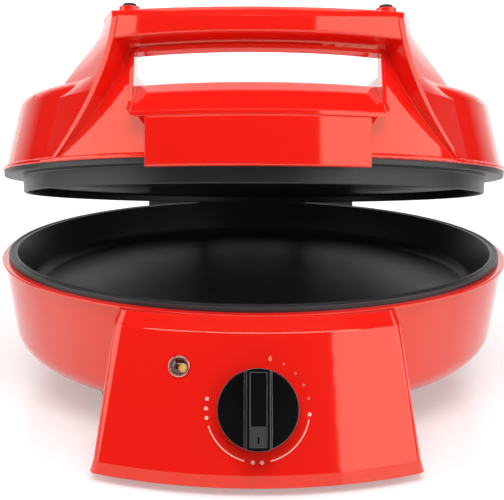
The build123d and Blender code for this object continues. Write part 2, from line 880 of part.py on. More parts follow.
# Lid cover: a drafted dome with a brim, two swept wings, a bar between them and a hinge pad behind
def dome_solid(inset, low):
    """The dome's outer form, or its inside when inset by the wall, from a height upwards."""
    top = dome_shoulder_height - inset
    return turned(
        [
            (0, low),
            (dome_wall_at(low) - inset, low),
            (dome_wall_at(top) - inset, top),
            (dome_wall_at(top) * 0.45, dome_crown_height - inset - 0.15 * crown_rise),
            (0, dome_crown_height - inset),
        ],
        [0, 0, dome_shoulder_radius - inset * 0.6, crown_blend_radius, 0],
    )


def ridge_angle(height):
    """How far round from the front a wing's front ridge lies at a height."""
    drop = (bar_top_height - height) / (bar_top_height - brim_low)
    half_width = bar_top_half_width + wing_flare * drop + wing_sweep * drop**2
    return degrees(asin(half_width / ridge_radius))


def wing_section(height, side):
    """A level section of a wing, from its front ridge round its outer face to the handle's rear."""
    front = ridge_angle(height)
    drop = max(bar_top_height - height, 0)
    rear = min(wing_rear_limit, wing_rear_angle + wing_rear_spread * (drop / wing_rear_drop) ** 1.5)
    recess = recess_wall_at(height) - wing_sink
    if height < dome_shoulder_height - dome_shoulder_radius:
        rear_radius = dome_wall_at(height) - wing_sink
    else:
        rear_radius = handle_rear_radius
    inner_radius = min(handle_rear_radius + wing_sink, recess - 4)
    points = [
        polar(ridge_radius, front),
        polar(rear_radius, rear),
        polar(inner_radius, front - 1.5 * ridge_thickness_angle),
        polar(recess, front - 1.5 * ridge_thickness_angle),
        polar(ridge_radius, front - ridge_thickness_angle),
    ]
    corners = [(side * x, y) for x, y, z in points]
    return Pos(0, 0, height) * make_face(Polyline(*corners, close=True))


def make_wing(side):
    shoulder_low = dome_shoulder_height - dome_shoulder_radius - 0.1
    shoulder_top = dome_shoulder_height - 0.5
    steps = 4
    low_rise = (shoulder_low - brim_low) / steps
    high_rise = (bar_top_height + handle_trim - shoulder_top) / steps
    lower = loft([wing_section(brim_low + low_rise * i, side) for i in range(steps + 1)])
    middle = loft([wing_section(shoulder_low, side), wing_section(shoulder_top, side)])
    upper = loft([wing_section(shoulder_top + high_rise * i, side) for i in range(steps + 1)])
    return lower + middle + upper


def between_wings(low):
    """The space from the middle of one wing's ridge wall to the other's, from a height upwards."""
    steps = 4
    rise = (bar_top_height + 2 * handle_trim - low) / steps
    sections = []
    for index in range(steps + 1):
        height = low + rise * index
        half_turn = ridge_angle(height) - 0.5 * ridge_thickness_angle
        near = polar(ridge_radius - bar_space_inset, half_turn)
        far = polar(ridge_radius + bar_space_outset, half_turn)
        outline = Polyline(near[0:2], far[0:2], (-far[0], far[1]), (-near[0], near[1]), close=True)
        sections.append(Pos(0, 0, height) * make_face(outline))
    return loft(sections)


def floor_line(drop):
    """The scoop, sill and ramp as points of radius and height, lowered by a drop."""
    return [
        (scoop_front_radius, scoop_front_height - drop),
        (sill_radius, sill_height - drop),
        (ramp_middle_radius, ramp_middle_height - drop),
        (ramp_end_radius, ramp_end_height - drop),
    ]


def handle_top():
    """All that lies below the handle's bevelled top, which rises a little towards its two ends."""
    trim_reach = 15.0
    half_end = handle_end_angle / 2
    sections = []
    for angle in (-envelope_angle, -2 * half_end, -half_end, 0, half_end, 2 * half_end, envelope_angle):
        share = min(abs(angle) / handle_end_angle, 1) ** 2
        top = bar_top_height + share * bar_end_rise
        crease = bar_crease_height + share * crease_end_rise
        slope = (top - crease) / bar_top_edge
        outline = closed_face(
            [
                (handle_rear_radius - 0.5, brim_low - 10),
                (ridge_radius + trim_reach, brim_low - 10),
                (ridge_radius + trim_reach, crease - trim_reach * slope),
                (ridge_radius - bar_top_edge, top),
                (handle_rear_radius - 0.5, top),
            ],
            [0, 0, 0, 4.0, 2.5],
        )
        sections.append(radial_plane(angle) * outline)
    return loft(sections)


def handle_block():
    """The bar, the wall of the recess below it and the two wings, trimmed to one rounded top."""
    low = dome_shoulder_height - dome_shoulder_radius - 8
    bar = turned_part(
        [
            (handle_rear_radius, low),
            (recess_wall_at(low), low),
            (recess_wall_at(bar_low_height), bar_low_height),
            (ridge_radius - bar_step, bar_low_height),
            (ridge_radius - bar_step, bar_top_height + handle_trim),
            (handle_rear_radius, bar_top_height + handle_trim),
        ],
        handle_block_angle,
        [0, 0, 3.0, 1.5, 0, 0],
    )
    recess = turned_part(
        [
            (handle_rear_radius, low),
            (recess_wall_at(low), low),
            (recess_wall_at(bar_low_height + 2), bar_low_height + 2),
            (handle_rear_radius, bar_low_height + 2),
        ],
        handle_block_angle,
    )
    handle = (bar & between_wings(low - 1)) + recess + make_wing(1) + make_wing(-1)
    above_shoulder = upright(2 * ridge_radius, dome_shoulder_height + 2, bar_top_height + 20)
    return (handle - above_shoulder) + (handle & above_shoulder & handle_top())


def make_lid_cover():
    outer = dome_solid(0.0, brim_low)
    inner = dome_solid(wall, brim_low - 1)
    brim = turned(
        [
            (dome_foot_radius - wall / 2, brim_low),
            (brim_radius, brim_low),
            (brim_radius, brim_top),
            (dome_foot_radius - wall / 2, brim_top),
        ],
        [0, 0.8, 1.2, 0],
    )
    under_liner = liner_wall + seat_gap
    trough_floor = floor_line(under_liner + wall)
    trough = turned_part(
        trough_floor[1:]
        + [(ramp_end_radius - 4, ramp_end_height - wall), (ramp_end_radius - 4, ramp_end_height + 3)]
        + [(sill_radius, ramp_end_height + 3)],
        35,
    )
    apron = turned_part(
        [
            (dome_wall_at(scoop_front_height) - wall, scoop_front_height - 8),
            (dome_wall_at(scoop_front_height), scoop_front_height - 8),
            (sill_radius + 6, ramp_end_height),
            (sill_radius - 1, ramp_end_height),
            (sill_radius - 1, sill_height - under_liner - wall),
        ],
        35,
    )
    trough = (trough + apron) & slab(window_half_width + liner_wall + seat_gap + wall) & outer
    pad = Pos(0, pad_face_reach - pad_depth / 2, (pad_low_height + pad_top_height) / 2) * Box(
        2 * pad_half_width, pad_depth, pad_top_height - pad_low_height
    )
    pad = fillet(pad.edges().filter_by(Axis.Y), pad_corner_radius)
    cover = (outer + handle_block() + pad - inner) + brim + trough
    stud_boss = upright(stud_boss_radius, dome_crown_height - wall - 14, dome_crown_height - wall + 0.5)
    cover = cover + stud_boss - upright(stud_radius, dome_crown_height - wall - 20, dome_crown_height - wall - 2)
    liner_top = window_top_height + liner_wall + seat_gap
    liner_floor = floor_line(under_liner)[:2]
    rear = handle_rear_radius - 1 - seat_gap
    rear_floor = sill_height - under_liner
    front = ridge_radius + window_reach
    liner_space = turned_part(
        [(front, liner_floor[0][1] - 4), *liner_floor, (rear, rear_floor), (rear, liner_top), (front, liner_top)],
        40,
    )
    cover = cover - (liner_space & window_outline(seat_gap))
    ramp_space = turned_part(
        [
            (rear + 0.1, sill_height + 0.3),
            *floor_line(0.0)[2:],
            (ramp_end_radius - 30, ramp_end_height + 6),
            (rear + 0.1, ramp_end_height + 6),
        ],
        40,
    )
    cover = cover - (ramp_space & slab(window_half_width))
    ring = upright(handle_ring_radius, bar_top_height - 1, bar_top_height + handle_ring_height)
    sink = upright(handle_pad_radius + seat_gap, bar_top_height + handle_pad_sink, bar_top_height + 10)
    for side in (-1, 1):
        cover = cover + handle_pad_place(side) * Rot(0, 0, 90 + side * 90) * ring
        cover = cover - handle_pad_place(side) * Rot(0, 0, 90 + side * 90) * sink
    for x in arm_screw_sides():
        bore = Pos(x, pad_face_reach, arm_screw_height()) * Rot(90, 0, 0) * Cylinder(screw_radius, 16)
        cover = cover - bore
    keep_in_lid("lid_cover", cover)


# Window liner: a frame with a scooped floor, lining the way through the handle
def window_outline(gap):
    """The liner's rounded outline from the front, grown by a gap, as a solid through the handle."""
    low = scoop_front_height - liner_wall - 0.3 - gap
    top = window_top_height + liner_wall + gap
    half = window_half_width + liner_wall + gap
    outline = RectangleRounded(2 * half, top - low, liner_corner_radius + gap)
    return extrude(Plane.XZ * Pos(0, (low + top) / 2) * outline, 2 * ridge_radius)


def make_handle_liner():
    top = window_top_height + liner_wall
    rear = handle_rear_radius - 1
    low = floor_line(liner_wall)[:2]
    cheek = scoop_front_height + liner_cheek_height + liner_cheek_rise
    block = turned_part(
        [
            *low,
            (rear, sill_height - liner_wall),
            (rear, top),
            (recess_wall_at(top) + liner_top_step, top),
            (liner_front_radius, cheek),
            (scoop_front_radius, scoop_front_height + liner_cheek_rise),
        ],
        35,
    )
    way = turned_part(
        [
            (scoop_front_radius + 1, scoop_front_height - 0.7),
            (sill_radius, sill_height),
            (rear - 1, sill_height + 0.3),
            (rear - 1, window_top_height),
            (scoop_front_radius + 1, window_top_height),
        ],
        40,
        [0, 6, 0, 0, 0],
    )
    liner = (block & window_outline(0.0)) - (way & slab(window_half_width))
    keep_in_lid("handle_liner", liner)


# Tongue plate: the curved front below the scoop, hanging a little below the lid's brim
def make_tongue():
    low = brim_top + tongue_back_gap
    slope = (sill_height - scoop_front_height) / (scoop_front_radius - sill_radius)
    top_front = scoop_front_height - liner_wall - seat_gap
    top_front = top_front - (tongue_radius - scoop_front_radius) * slope
    back_radius = dome_wall_at(top_front + 6) + seat_gap
    top_back = top_front + (tongue_radius - back_radius) * slope
    outer = turned_part(
        [
            (brim_radius + tongue_back_gap, tongue_low_height),
            (tongue_radius, tongue_low_height),
            (tongue_radius, top_front),
            (back_radius, top_back),
            (dome_wall_at(low) + seat_gap, low),
            (brim_radius + tongue_back_gap, low),
        ],
        30,
        [0, 1.2, 1.0, 0, 0, 0],
    )
    hollow = turned_part(
        [
            (brim_radius - 10, low + tongue_wall),
            (tongue_radius - tongue_wall, low + tongue_wall),
            (tongue_radius - tongue_wall, top_front - tongue_wall),
            (brim_radius - 12, top_front + 3),
        ],
        35,
    )
    tongue = (outer & slab(tongue_half_width)) - (hollow & slab(tongue_half_width - tongue_wall))
    keep_in_lid("tongue_plate", tongue)


# Upper hot plate: a flanged disc with a skirt that drops inside the pan's rim
def make_upper_plate():
    skirt_low = plate_flange_low - skirt_drop
    flange_outer = dome_foot_radius + plate_flange_cover
    skirt_inner = skirt_radius - skirt_wall
    plate = turned(
        [
            (0, plate_under),
            (skirt_inner - skirt_slant, plate_under),
            (skirt_inner, skirt_low),
            (skirt_radius - skirt_slant, skirt_low),
            (skirt_radius, plate_flange_low),
            (flange_outer, plate_flange_low),
            (flange_outer, brim_low),
            (skirt_inner - 2 * skirt_slant, brim_low),
            (skirt_inner - 2 * skirt_slant, plate_top),
            (0, plate_top),
        ],
        [0, 1.2, 0.6, 0.8, 0.6, 0.6, 0, 0.8, 0, 0],
    )
    plate = plate + upright(stud_boss_radius, plate_top, plate_top + boss_length)
    plate = plate - upright(stud_radius, plate_top + 1, plate_top + boss_length + 1)
    keep_in_lid("upper_plate", plate)
    keep_in_lid("plate_stud", upright(stud_radius - thread_gap, plate_top + 1, dome_crown_height - wall - 2))


def handle_pad_place(side):
    """Where one of the two handle pads stands, on the left for -1 and on the right for 1."""
    return Pos(*polar(ridge_radius - handle_pad_inset, side * handle_pad_angle))


def make_handle_pads():
    for index, side in enumerate((-1, 1), 1):
        pad = upright(handle_pad_radius, bar_top_height + handle_pad_sink, handle_pad_top)
        pad = fillet(pad.edges().sort_by(Axis.Z)[-1], handle_pad_edge)
        keep_in_lid(f"handle_pad_{index}", handle_pad_place(side) * pad)


# Hinge arms: a seat on the lid's pad, a web and an eye round the pin
def arm_screw_sides():
    """The X of the four screws that hold the two arms."""
    return [side * arm_side + offset for side in (-1, 1) for offset in (-arm_screw_side, arm_screw_side)]


def arm_screw_height():
    return pad_top_height - arm_screw_drop


def make_hinge_arms():
    seat_rear = pad_face_reach + arm_seat_thickness
    web_top = arm_screw_height() - screw_head_radius - 3.0
    web_low = pad_low_height + 1.0
    web = Pos(hinge_reach, hinge_height) * Circle(eye_radius) + closed_face(
        [
            (pad_face_reach, web_low),
            (hinge_reach - 18, web_low - 2.0),
            (hinge_reach - 4.6, hinge_height - 5.2),
            (hinge_reach + 2.5, hinge_height + 6.5),
            (seat_rear + 2, web_top),
            (pad_face_reach, web_top),
        ]
    )
    seat_height = pad_top_height - pad_low_height - 2.0
    for index, side in enumerate((-1, 1), 1):
        middle = side * arm_side
        arm = Pos(middle, 0, 0) * extrude(Plane.YZ * web, arm_width / 2, both=True)
        seat = Pos(middle, pad_face_reach + arm_seat_thickness / 2, pad_low_height + 1 + seat_height / 2)
        arm = arm + seat * Box(arm_seat_width, arm_seat_thickness, seat_height)
        bore = crosswise(pin_radius + running_gap, middle - 10, middle + 10, hinge_reach, hinge_height)
        arm = arm - bore
        for x in arm_screw_sides():
            hole = Pos(x, seat_rear, arm_screw_height()) * Rot(90, 0, 0) * Cylinder(screw_radius + 0.2, 20)
            arm = arm - hole
        keep_in_lid(f"hinge_arm_{index}", arm)
    for index, x in enumerate(arm_screw_sides(), 1):
        seat = Plane(origin=(x, seat_rear, arm_screw_height()), x_dir=(1, 0, 0), z_dir=(0, -1, 0))
        keep_in_lid(f"arm_screw_{index}", seat * screw(arm_seat_thickness + arm_screw_grip))


make_body_shell()
make_pan()
make_heating_set("lower", Pos(0, 0, pan_under), keep)
make_bottom_cover()
make_feet()
make_front_panel()
make_lamp()
make_thermostat()
make_knob()
make_terminal_block()
make_hinge_housing()
make_hinge_pins()
make_cord_gland()
make_lid_cover()
make_handle_liner()
make_tongue()
make_upper_plate()
make_heating_set("upper", Pos(0, 0, plate_top) * Rot(180, 0, 0), keep_in_lid)
make_handle_pads()
make_hinge_arms()

os.makedirs("parts", exist_ok=True)
for name, shape in pieces.items():
    export_step(shape, f"parts/{name}.step")
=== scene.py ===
import math

import bmesh
import bpy
from bpy.props import FloatProperty, FloatVectorProperty, IntProperty, PointerProperty
from mathutils import Matrix, Vector
from mathutils.bvhtree import BVHTree


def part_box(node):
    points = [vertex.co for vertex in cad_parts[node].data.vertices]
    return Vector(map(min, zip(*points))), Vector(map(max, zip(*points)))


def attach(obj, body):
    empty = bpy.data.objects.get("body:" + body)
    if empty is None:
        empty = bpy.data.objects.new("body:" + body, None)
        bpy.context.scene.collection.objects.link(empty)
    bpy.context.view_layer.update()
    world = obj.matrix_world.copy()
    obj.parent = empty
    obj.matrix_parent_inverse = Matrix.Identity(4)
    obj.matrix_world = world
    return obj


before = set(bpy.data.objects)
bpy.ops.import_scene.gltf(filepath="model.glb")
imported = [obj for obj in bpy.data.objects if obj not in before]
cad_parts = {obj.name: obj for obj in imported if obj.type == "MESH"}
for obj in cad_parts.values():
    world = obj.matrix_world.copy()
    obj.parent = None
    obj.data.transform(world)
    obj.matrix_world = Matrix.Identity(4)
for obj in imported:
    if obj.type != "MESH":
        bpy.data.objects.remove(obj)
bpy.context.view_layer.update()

bl_info = {
    "name": "Pizza Maker Dressing",
    "version": (1, 0, 0),
    "blender": (4, 5, 0),
    "location": "3D View > Sidebar > Pizza Maker",
    "description": "Paints the packed pizza maker, prints its dial and sets up a studio",
    "category": "Object",
}

# Where the CAD model has its front face, in metres.
FACE_LEAN = math.radians(22.0)
KNOB_CENTRE = Vector((0.0, -0.194166, 0.0428))
FACE_NORMAL = Vector((0.0, -math.cos(FACE_LEAN), math.sin(FACE_LEAN)))
FACE_UP = Vector((0.0, math.sin(FACE_LEAN), math.cos(FACE_LEAN)))
FACE_REACH = 0.03
MM = 0.001

# The dial's marks, in degrees clockwise from the top, and the off mark's half width and height.
SMALL_DOTS = (30.0, 46.7, 62.3, 78.0)
DOTS = (95.5, 175.6, 185.6, 260.7, 271.0, 281.6)
ARCS = ((101.0, 166.0), (195.0, 252.0))
ARC_STEP = 2
OFF_MARK = 13.7
DROP_HALF_WIDTH = 0.9 * MM
DROP_HALF_HEIGHT = 1.5 * MM
DROP_TAPER = 0.35

# The hinge in millimetres, and how far the frame has the lid open.
HINGE = Vector((0.0, 208.0, 88.65))
LID_OPEN = math.radians(11.6)

# The ramp behind the lid's window, in millimetres of the closed lid: its height at one radius, its
# rise towards the middle, and how far the wall below it reaches round.
RAMP_RADIUS = 120.0
RAMP_HEIGHT = 138.2
RAMP_SLOPE = 6.6 / 36.0
RAMP_HALF_WIDTH = 67.4
RAMP_TROUGH_ANGLE = math.radians(35.0)

# The two pieces that close the ramp's rear corners, in millimetres.
CORNER_FRONT = -97.0
CORNER_LENGTH = 19.0
CORNER_ROWS = 12
CORNER_GAP = 0.02
CORNER_FLOOR = 2.3
CORNER_WALL = 2.4
CORNER_TOP = 141.6
CORNER_OVERLAP = 0.6
CORNER_LEAST_WIDTH = 0.4

# The sweep's outline from front to back, in metres, and half its width.
SWEEP_OUTLINE = [(-1.5, 0.0), (1.2, 0.0), (1.6, 0.06), (1.9, 0.3), (2.0, 0.7), (2.0, 3.5)]
SWEEP_HALF_WIDTH = 1.5

# Distances from the middle over which the floor turns from shaded to even white, in metres.
GLOW_NEAR = 0.3
GLOW_FAR = 1.5

# Directions, as a share to the back, over which the mirrored room turns from dark to white.
ROOM_DARK = 0.55
ROOM_WHITE = 0.85

# Where the lamps and the camera point, and where the camera stands, in metres.
LAMP_TARGET = (0.0, -0.1, 0.1)
CAMERA_PLACE = (-0.0089, -0.6355, 0.2263)
CAMERA_TARGET = (-0.0011, 0.0, 0.083)
CAMERA_ROLL = math.radians(0.3)


class ShellSettings(bpy.types.PropertyGroup):
    """The red moulded shell."""

    colour: FloatVectorProperty(
        name="Colour",
        description="Colour of the gloss plastic",
        subtype="COLOR",
        size=3,
        min=0.0,
        max=1.0,
        default=(0.84, 0.011, 0.006),
    )
    roughness: FloatProperty(
        name="Roughness",
        description="Roughness of the polished surface",
        subtype="FACTOR",
        min=0.0,
        max=1.0,
        default=0.07,
    )
    peel: FloatProperty(
        name="Peel",
        description="Depth of the faint moulding waves",
        subtype="DISTANCE",
        unit="LENGTH",
        min=0.0,
        max=0.001,
        default=0.00002,
    )


class PlateSettings(bpy.types.PropertyGroup):
    """The coated hot plates."""

    colour: FloatVectorProperty(
        name="Colour",
        description="Colour of the non-stick coating",
        subtype="COLOR",
        size=3,
        min=0.0,
        max=1.0,
        default=(0.018, 0.018, 0.020),
    )
    roughness: FloatProperty(
        name="Roughness",
        description="Roughness of the coating",
        subtype="FACTOR",
        min=0.0,
        max=1.0,
        default=0.38,
    )


class KnobSettings(bpy.types.PropertyGroup):
    """The gloss black knob."""

    colour: FloatVectorProperty(
        name="Colour",
        description="Colour of the knob",
        subtype="COLOR",
        size=3,
        min=0.0,
        max=1.0,
        default=(0.002, 0.002, 0.0025),
    )
    # Painted highlight: a light grey laid along the knob's edges, standing in for the light its
    # polished rounded edges catch.
    edge_highlight_colour: FloatVectorProperty(
        name="Edge colour",
        description="Colour of the knob's polished edges",
        subtype="COLOR",
        size=3,
        min=0.0,
        max=1.0,
        default=(0.36, 0.36, 0.37),
    )
    roughness: FloatProperty(
        name="Roughness",
        description="Roughness of the knob",
        subtype="FACTOR",
        min=0.0,
        max=1.0,
        default=0.08,
    )


class LampSettings(bpy.types.PropertyGroup):
    """The signal lamp."""

    ring: FloatVectorProperty(
        name="Ring",
        description="Colour of the plated ring",
        subtype="COLOR",
        size=3,
        min=0.0,
        max=1.0,
        default=(0.72, 0.40, 0.32),
    )
    lens: FloatVectorProperty(
        name="Lens",
        description="Colour of the lens round its bright spot",
        subtype="COLOR",
        size=3,
        min=0.0,
        max=1.0,
        default=(0.06, 0.003, 0.002),
    )
    # Painted highlight: the amber spot laid into the lens colour stands in for the light the lens
    # catches.
    painted_highlight: FloatVectorProperty(
        name="Spot",
        description="Colour of the bright spot in the lens",
        subtype="COLOR",
        size=3,
        min=0.0,
        max=1.0,
        default=(0.95, 0.52, 0.10),
    )
    highlight_side: FloatProperty(
        name="Spot side",
        description="Where the bright spot lies in the lens, from left to right",
        subtype="FACTOR",
        min=0.0,
        max=1.0,
        default=0.75,
    )
    highlight_radius: FloatProperty(
        name="Spot radius",
        description="Radius of the bright spot",
        subtype="DISTANCE",
        unit="LENGTH",
        min=0.0005,
        max=0.006,
        default=0.0028,
    )


class DialSettings(bpy.types.PropertyGroup):
    """The marks printed round the knob."""

    radius: FloatProperty(
        name="Radius",
        description="Radius of the ring of marks",
        subtype="DISTANCE",
        unit="LENGTH",
        min=0.02,
        max=0.04,
        default=0.0268,
    )
    stroke: FloatProperty(
        name="Stroke",
        description="Width of the printed arcs",
        subtype="DISTANCE",
        unit="LENGTH",
        min=0.0002,
        max=0.002,
        default=0.0007,
    )
    dot: FloatProperty(
        name="Dot",
        description="Radius of the larger dots",
        subtype="DISTANCE",
        unit="LENGTH",
        min=0.0003,
        max=0.003,
        default=0.00105,
    )
    small_dot: FloatProperty(
        name="Small dot",
        description="Radius of the small dots",
        subtype="DISTANCE",
        unit="LENGTH",
        min=0.0002,
        max=0.002,
        default=0.00062,
    )
    lift: FloatProperty(
        name="Lift",
        description="Thickness of the print",
        subtype="DISTANCE",
        unit="LENGTH",
        min=0.00001,
        max=0.0003,
        default=0.00006,
    )
    bold: FloatVectorProperty(
        name="Bold colour",
        description="Colour of the arcs and larger dots",
        subtype="COLOR",
        size=3,
        min=0.0,
        max=1.0,
        default=(0.92, 0.44, 0.35),
    )
    faint: FloatVectorProperty(
        name="Faint colour",
        description="Colour of the off mark and small dots",
        subtype="COLOR",
        size=3,
        min=0.0,
        max=1.0,
        default=(0.88, 0.17, 0.12),
    )
    segments: IntProperty(
        name="Segments",
        description="Steps round a dot",
        min=8,
        max=64,
        default=20,
    )


class StageSettings(bpy.types.PropertyGroup):
    """Floor, lamps and camera."""

    key: FloatProperty(
        name="Main softbox",
        description="Brightness of the softbox high at the front, where 1 is white",
        min=0.0,
        max=40.0,
        default=5.7,
    )
    card: FloatProperty(
        name="Side cards",
        description="Brightness of the two tall cards that the polished sides mirror",
        min=0.0,
        max=20.0,
        default=1.75,
    )
    strip: FloatProperty(
        name="Edge strip",
        description="Brightness of the long strip that the rounded edges mirror",
        min=0.0,
        max=40.0,
        default=5.0,
    )
    top: FloatProperty(
        name="Top light",
        description="Brightness of the softbox above",
        min=0.0,
        max=20.0,
        default=1.3,
    )
    sky: FloatProperty(
        name="Sky",
        description="Strength of the even light from all round",
        min=0.0,
        max=2.0,
        default=0.2,
    )
    front: FloatProperty(
        name="Room in front",
        description="How bright the room behind the camera looks in a polished surface",
        min=0.0,
        max=1.0,
        default=0.03,
    )
    floor_colour: FloatVectorProperty(
        name="Floor colour",
        description="Colour of the floor and backdrop",
        subtype="COLOR",
        size=3,
        min=0.0,
        max=1.0,
        default=(0.76, 0.76, 0.76),
    )
    floor_roughness: FloatProperty(
        name="Floor roughness",
        description="Roughness of the floor, which mirrors the part faintly",
        subtype="FACTOR",
        min=0.0,
        max=1.0,
        default=0.22,
    )
    floor_glow: FloatProperty(
        name="Floor glow",
        description="What the pale floor shows beyond the light that falls on it",
        min=0.0,
        max=1.0,
        default=0.30,
    )
    backdrop_glow: FloatProperty(
        name="Backdrop glow",
        description="What the pale backdrop shows beyond the light that falls on it",
        min=0.0,
        max=1.0,
        default=0.85,
    )
    lens: FloatProperty(
        name="Lens",
        description="Focal length of the camera",
        subtype="DISTANCE_CAMERA",
        unit="CAMERA",
        min=10.0,
        max=300.0,
        default=65.47,
    )


# Materials

# How soon a turning edge shows its painted highlight colour in full.
EDGE_GAIN = 5.0


def group_of(name, inputs, outputs):
    """An empty shader node group with float, colour or vector sockets."""
    kinds = {"f": "NodeSocketFloat", "c": "NodeSocketColor", "v": "NodeSocketVector"}
    group = bpy.data.node_groups.new(name, "ShaderNodeTree")
    for label, kind, default in inputs:
        socket = group.interface.new_socket(label, in_out="INPUT", socket_type=kinds[kind])
        if default is not None:
            socket.default_value = default
    for label, kind in outputs:
        group.interface.new_socket(label, in_out="OUTPUT", socket_type=kinds[kind])
    start = group.nodes.new("NodeGroupInput")
    start.location = (-900, 0)
    end = group.nodes.new("NodeGroupOutput")
    end.location = (500, 0)
    return group, start, end


def node(tree, kind, place=(0, 0), **values):
    """A node with its settings, and with its inputs' values under names that start with in_."""
    made = tree.nodes.new(kind)
    made.location = place
    for key, value in values.items():
        if key.startswith("in_"):
            made.inputs[key[3:].replace("_", " ")].default_value = value
        else:
            setattr(made, key, value)
    return made


def math_node(tree, operation, first, second, place=(0, 0)):
    """A math node whose inputs are sockets or numbers."""
    made = node(tree, "ShaderNodeMath", place, operation=operation)
    for index, value in enumerate((first, second)):
        if hasattr(value, "is_linked"):
            tree.links.new(value, made.inputs[index])
        else:
            made.inputs[index].default_value = value
    return made.outputs[0]


def surface_group():
    """Cloudy tone, fine grain and dust in the upward faces, for moulded and coated surfaces."""
    if "SurfaceWear" in bpy.data.node_groups:
        return bpy.data.node_groups["SurfaceWear"]
    group, start, end = group_of(
        "SurfaceWear",
        [
            ("Colour", "c", (0.5, 0.5, 0.5, 1.0)),
            ("Roughness", "f", 0.4),
            ("Cloud Scale", "f", 14.0),
            ("Cloud Amount", "f", 0.05),
            ("Grain Scale", "f", 900.0),
            ("Grain Amount", "f", 0.05),
            ("Dust Amount", "f", 0.02),
        ],
        [("Colour", "c"), ("Roughness", "f"), ("Height", "f")],
    )
    links = group.links
    place = node(group, "ShaderNodeTexCoord", (-900, -300))
    cloud = node(group, "ShaderNodeTexNoise", (-650, 200), in_Detail=3.0)
    grain = node(group, "ShaderNodeTexNoise", (-650, -100), in_Detail=2.0, in_Roughness=0.6)
    for texture, scale in ((cloud, "Cloud Scale"), (grain, "Grain Scale")):
        links.new(place.outputs["Object"], texture.inputs["Vector"])
        links.new(start.outputs[scale], texture.inputs["Scale"])
    centred = math_node(group, "SUBTRACT", cloud.outputs["Fac"], 0.5, (-450, 200))
    tone = math_node(group, "MULTIPLY", centred, start.outputs["Cloud Amount"], (-300, 200))
    value = math_node(group, "ADD", tone, 1.0, (-150, 200))
    tint = node(group, "ShaderNodeHueSaturation", (0, 200))
    links.new(start.outputs["Colour"], tint.inputs["Color"])
    links.new(value, tint.inputs["Value"])
    shape = node(group, "ShaderNodeNewGeometry", (-650, -400))
    split = node(group, "ShaderNodeSeparateXYZ", (-450, -400))
    links.new(shape.outputs["Normal"], split.inputs[0])
    upward = math_node(group, "MAXIMUM", split.outputs["Z"], 0.0, (-300, -400))
    speck = math_node(group, "MULTIPLY", upward, cloud.outputs["Fac"], (-150, -400))
    dust = math_node(group, "MULTIPLY", speck, start.outputs["Dust Amount"], (0, -400))
    dusted = node(group, "ShaderNodeMix", (200, 200), data_type="RGBA")
    dusted.inputs["B"].default_value = (0.55, 0.53, 0.50, 1.0)
    links.new(dust, dusted.inputs["Factor"])
    links.new(tint.outputs["Color"], dusted.inputs["A"])
    links.new(dusted.outputs["Result"], end.inputs["Colour"])
    fine = math_node(group, "SUBTRACT", grain.outputs["Fac"], 0.5, (-450, -100))
    rough = math_node(group, "MULTIPLY", fine, start.outputs["Grain Amount"], (-300, -100))
    smear = math_node(group, "ADD", rough, tone, (-150, -100))
    both = math_node(group, "ADD", smear, start.outputs["Roughness"], (0, -100))
    dusty = math_node(group, "ADD", both, dust, (150, -100))
    links.new(dusty, end.inputs["Roughness"])
    links.new(grain.outputs["Fac"], end.inputs["Height"])
    return group


def brushed_group():
    """Streaks round an axis for turned or drawn metal."""
    if "MetalStreaks" in bpy.data.node_groups:
        return bpy.data.node_groups["MetalStreaks"]
    group, start, end = group_of(
        "MetalStreaks",
        [
            ("Colour", "c", (0.6, 0.6, 0.6, 1.0)),
            ("Roughness", "f", 0.3),
            ("Streak Scale", "f", 60.0),
            ("Streak Amount", "f", 0.15),
        ],
        [("Colour", "c"), ("Roughness", "f"), ("Height", "f")],
    )
    links = group.links
    place = node(group, "ShaderNodeTexCoord", (-900, -200))
    stretch = node(group, "ShaderNodeMapping", (-700, -200))
    stretch.inputs["Scale"].default_value = (1.0, 1.0, 40.0)
    links.new(place.outputs["Object"], stretch.inputs["Vector"])
    streak = node(group, "ShaderNodeTexNoise", (-500, -100), in_Detail=4.0)
    links.new(stretch.outputs[0], streak.inputs["Vector"])
    links.new(start.outputs["Streak Scale"], streak.inputs["Scale"])
    centred = math_node(group, "SUBTRACT", streak.outputs["Fac"], 0.5, (-300, -100))
    amount = math_node(group, "MULTIPLY", centred, start.outputs["Streak Amount"], (-150, -100))
    rough = math_node(group, "ADD", amount, start.outputs["Roughness"], (0, -100))
    links.new(rough, end.inputs["Roughness"])
    value = math_node(group, "ADD", amount, 1.0, (0, 150))
    tint = node(group, "ShaderNodeHueSaturation", (200, 150))
    links.new(start.outputs["Colour"], tint.inputs["Color"])
    links.new(value, tint.inputs["Value"])
    links.new(tint.outputs["Color"], end.inputs["Colour"])
    links.new(streak.outputs["Fac"], end.inputs["Height"])
    return group


